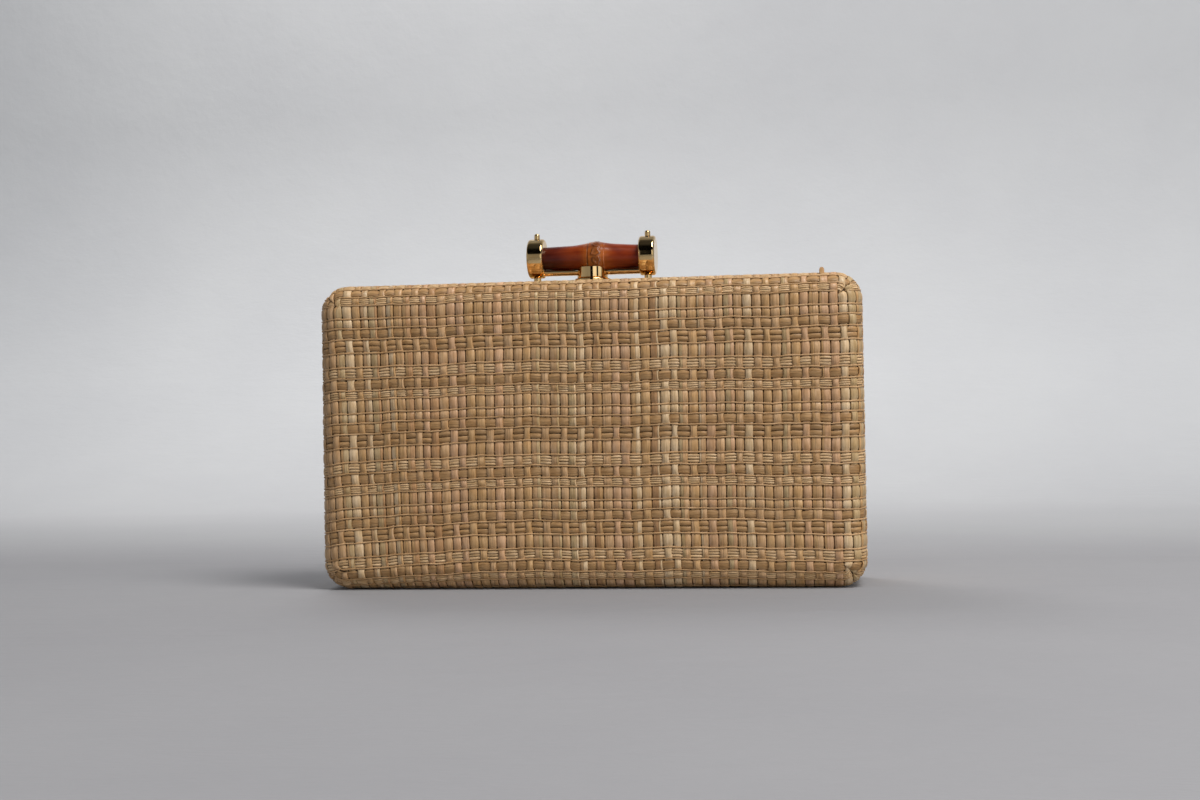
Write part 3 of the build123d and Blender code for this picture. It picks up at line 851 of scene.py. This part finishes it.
def sweep():
    """A grey floor that turns paler far away and up the backdrop."""
    material, board, shader = new_material("plaster", roughness=0.85, specular_ior_level=0.2)
    place = board.add("ShaderNodeTexCoord").outputs["Object"]
    soft = board.noise(place, 5.0, 5.0, 0.6)
    trowel = board.noise(board.stretch(place, (30, 90, 30)), 1.0, 5.0, 0.6)
    behind = board.range(board.add("ShaderNodeSeparateXYZ", {"Vector": place}).outputs["Y"], 0.1, 0.8)
    away = board.add("ShaderNodeVectorMath", {0: place}, operation="LENGTH").outputs["Value"]
    around = board.range(away, 0.9, 2.4)
    tone = board.mix(board.math("MAXIMUM", behind, around), srgb(144, 143, 145), srgb(203, 203, 204))
    stained = board.mix(1.0, tone, srgb(240, 240, 242), "MULTIPLY")
    colour = board.mix(board.range(soft, 0.3, 0.7, 0, 0.5), tone, stained)
    feed(board, shader, base_color=colour, normal=board.bump(trowel, 0.25, 3 * MM))
    profile = [(-7.0, 0.0)]
    for turn in np.linspace(0, pi / 2, 24):
        profile.append((0.55 + 0.35 * np.sin(turn), 0.35 - 0.35 * np.cos(turn)))
    profile.append((0.9, 2.2))
    points = [(x * 1000, y * 1000, z * 1000 - FLOOR_DROP) for x in (-8, 8) for y, z in profile]
    count = len(profile)
    faces = [[step, step + 1, count + step + 1, count + step] for step in range(count - 1)]
    mesh = bpy.data.meshes.new("sweep")
    mesh.from_pydata((np.array(points) * MM).tolist(), [], faces)
    mesh.polygons.foreach_set("use_smooth", [True] * len(faces))
    mesh.materials.append(material)
    floor = bpy.data.objects.new("sweep", mesh)
    scene.collection.objects.link(floor)


sweep()


# Lights

def area_light(name, place, target, size, power, colour):
    data = bpy.data.lights.new(name, "AREA")
    data.shape = "RECTANGLE"
    data.size, data.size_y = size
    data.energy = power
    data.color = colour
    lamp = bpy.data.objects.new(name, data)
    lamp.location = place
    lamp.rotation_euler = (Vector(target) - Vector(place)).to_track_quat("-Z", "Y").to_euler()
    scene.collection.objects.link(lamp)
    return lamp


def set_lights():
    """Three lamps, and a room that polished metal sees with bright windows between dark walls."""
    world = bpy.data.worlds.new("room")
    scene.world = world
    world.use_nodes = True
    board = Board(world.node_tree)
    background = world.node_tree.nodes["Background"]
    direction = board.add("ShaderNodeTexCoord").outputs["Generated"]
    axes = board.add("ShaderNodeSeparateXYZ", {"Vector": direction}).outputs
    ceiling = board.ramp(axes["Z"], ((0.2, 255), (0.36, 235), (0.44, 30), (0.78, 18), (0.92, 100)))
    heading = board.math("ARCTAN2", axes["X"], board.math("MULTIPLY", axes["Y"], -1.0))
    turn = board.range(heading, -pi, pi)
    walls = board.ramp(turn, (
        (0.0, 190), (0.2, 180), (0.3, 150), (0.42, 135), (0.47, 140), (0.48, 10), (0.525, 14),
        (0.535, 255), (0.6, 250), (0.61, 10), (0.635, 12), (0.65, 235), (0.71, 215),
        (0.72, 16), (0.76, 24), (0.78, 190), (1.0, 190),
    ))
    ceiling = board.mix(board.range(axes["Y"], 0.12, 0.3), ceiling, srgb(190, 190, 190))
    room = board.mix(1.0, walls, ceiling, "MULTIPLY")
    path = board.add("ShaderNodeLightPath").outputs
    seen = board.mix(path["Is Glossy Ray"], srgb(222, 228, 234), room)
    seen = board.mix(path["Is Camera Ray"], seen, srgb(198, 199, 200))
    board.tree.links.new(seen, background.inputs["Color"])
    direct = board.math("MAXIMUM", path["Is Glossy Ray"], path["Is Camera Ray"])
    board.tree.links.new(board.range(direct, 0, 1, 0.55, 1.1), background.inputs["Strength"])
    area_light("window", (0.5, -0.42, 1.12), (0, 0, 0.05), (0.55, 0.6), 13.2, (1.0, 0.985, 0.96))
    side = area_light("side_window", (0.7, -0.5, 0.3), (0.08, 0, 0.06), (0.4, 0.6), 2.3, (1.0, 0.99, 0.97))
    back = area_light("back_window", (-0.35, 0.72, 0.95), (0, 0, 0.05), (0.5, 0.5), 6.0, (1.0, 0.99, 0.97))
    for lamp in (side, back):
        lamp.visible_glossy = False
        lamp.visible_camera = False


set_lights()
